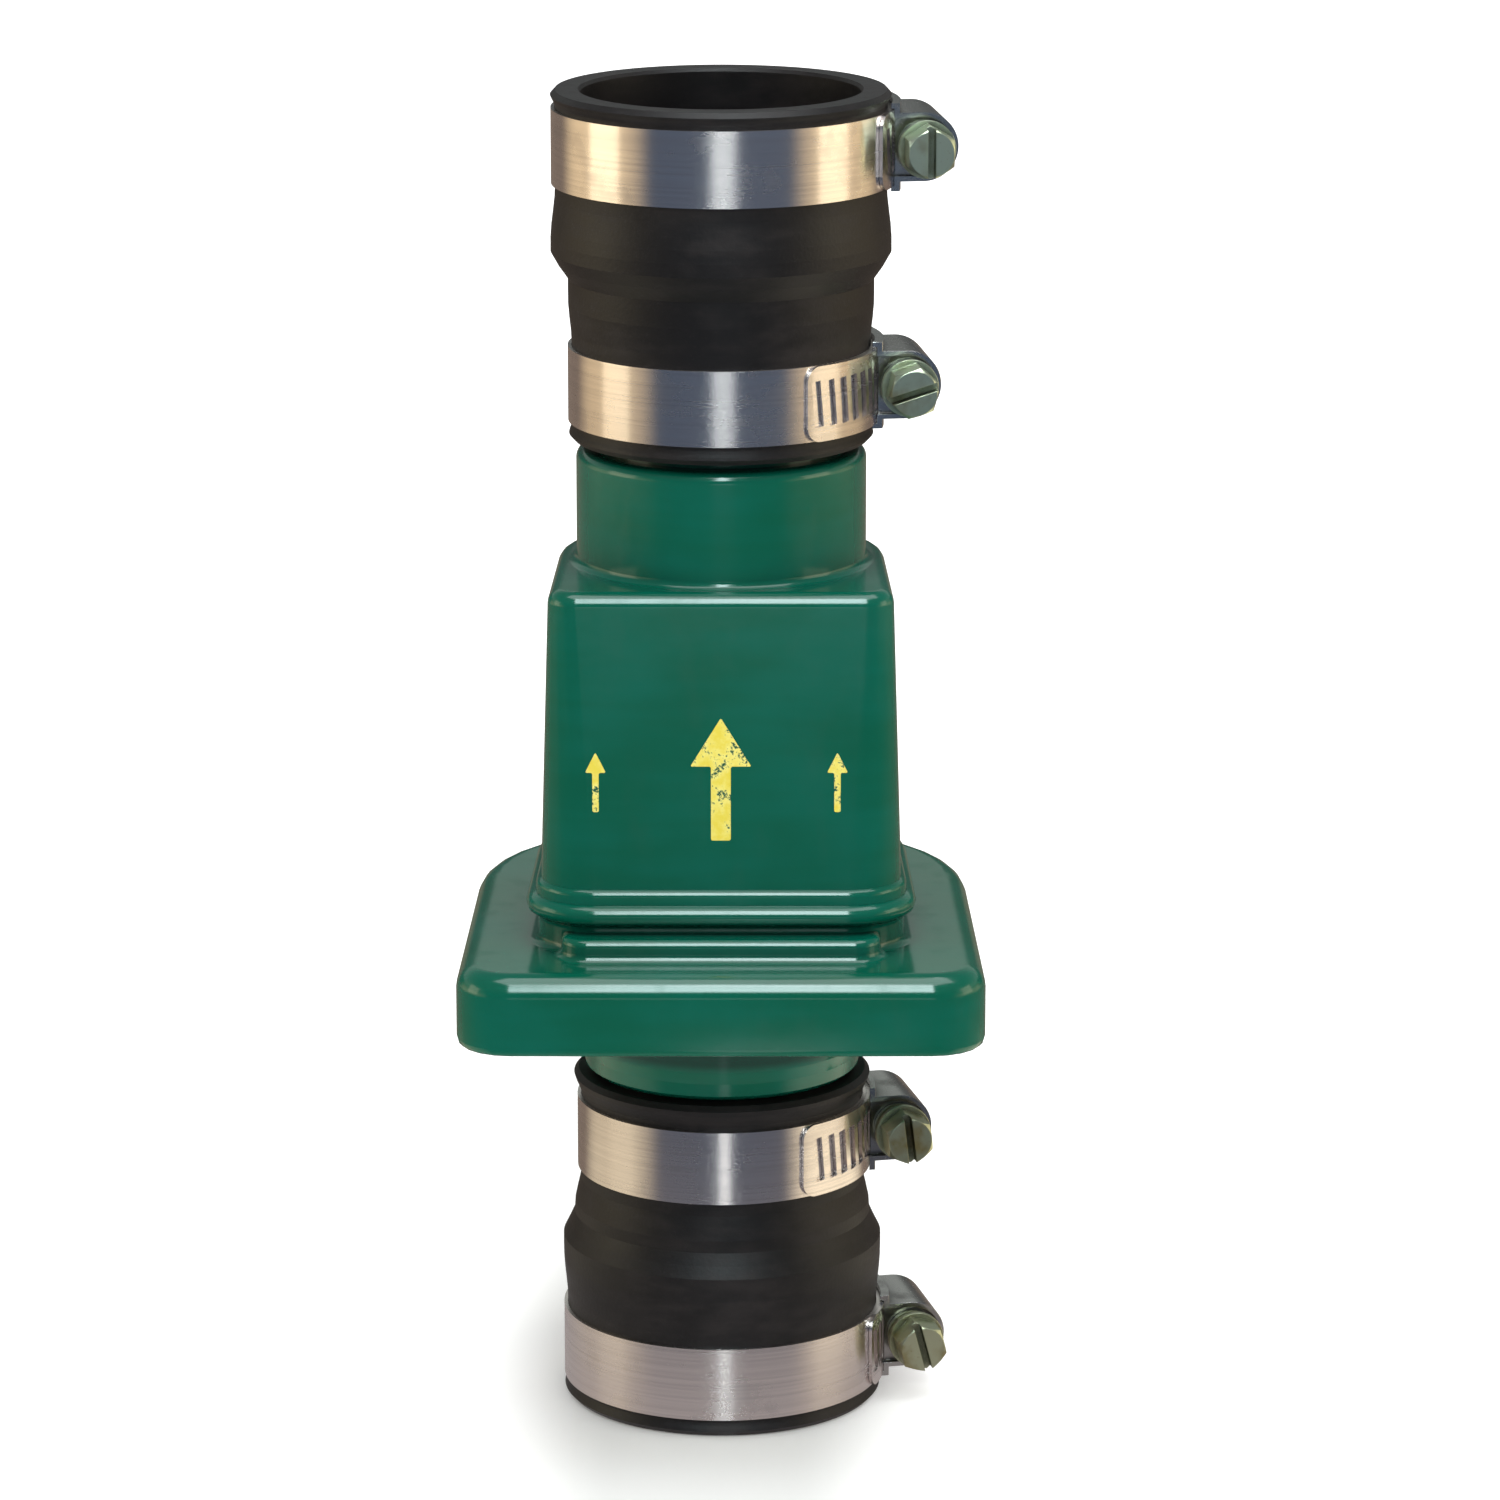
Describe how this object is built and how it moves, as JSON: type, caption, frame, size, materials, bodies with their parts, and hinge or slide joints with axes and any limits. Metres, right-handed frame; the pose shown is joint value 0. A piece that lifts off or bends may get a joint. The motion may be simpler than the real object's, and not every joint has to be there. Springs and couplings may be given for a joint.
{
  "type": "swing check valve",
  "caption": "Plastic swing check valve: box chamber on a wide flange, hinged flapper inside, reducing rubber sleeves with worm-drive clamps at both ends.",
  "frame": {"origin": "pipe axis at the rim of the lower (inlet) sleeve", "axes": "+Z along the pipe axis with the flow, -Y out of the flat marked face, +X toward the clamp screws"},
  "size_m": [0.091, 0.1054, 0.2348],
  "materials": {
    "casing": "glossy moulded plastic",
    "rubber": "satin moulded rubber",
    "band": "brushed stainless strip",
    "housing": "pressed stainless sheet",
    "screw": "plated steel with a grey-green cast",
    "pin": "drawn stainless wire",
    "brass": "plain brass"
  },
  "bodies": {
    "valve": {"outlet_body": "casing", "inlet_body": "casing", "hinge_pin": "pin", "upper_sleeve": "rubber", "lower_sleeve": "rubber", "band_1": "band", "band_2": "band", "band_3": "band", "band_4": "band", "housing_1": "housing", "housing_2": "housing", "housing_3": "housing", "housing_4": "housing"},
    "flapper": {"flapper_arm": "brass", "flapper_disc": "rubber", "flapper_backing": "brass", "flapper_washer": "brass", "flapper_rivet": "brass"},
    "clamp_screw_1": {"screw_1": "screw"},
    "clamp_screw_2": {"screw_2": "screw"},
    "clamp_screw_3": {"screw_3": "screw"},
    "clamp_screw_4": {"screw_4": "screw"}
  },
  "joints": [
    {"name": "flapper_hinge", "type": "hinge", "parent": "valve", "child": "flapper", "pos_m": [0, -0.0263, 0.0905], "axis": [1, 0, 0], "range_deg": [0, 65]},
    {"name": "screw_turn_1", "type": "hinge", "parent": "valve", "child": "clamp_screw_1", "pos_m": [0.03386, 0.0044, 0.2252], "axis": [-0.1288, 0.9917, 0], "continuous": true},
    {"name": "screw_turn_2", "type": "hinge", "parent": "valve", "child": "clamp_screw_2", "pos_m": [0.03118, 0.00405, 0.1838], "axis": [-0.1288, 0.9917, 0], "continuous": true},
    {"name": "screw_turn_3", "type": "hinge", "parent": "valve", "child": "clamp_screw_3", "pos_m": [0.02988, 0.00657, 0.0486], "axis": [-0.2147, 0.9767, 0], "continuous": true},
    {"name": "screw_turn_4", "type": "hinge", "parent": "valve", "child": "clamp_screw_4", "pos_m": [0.03242, 0.00713, 0.0096], "axis": [-0.2147, 0.9767, 0], "continuous": true}
  ]
}
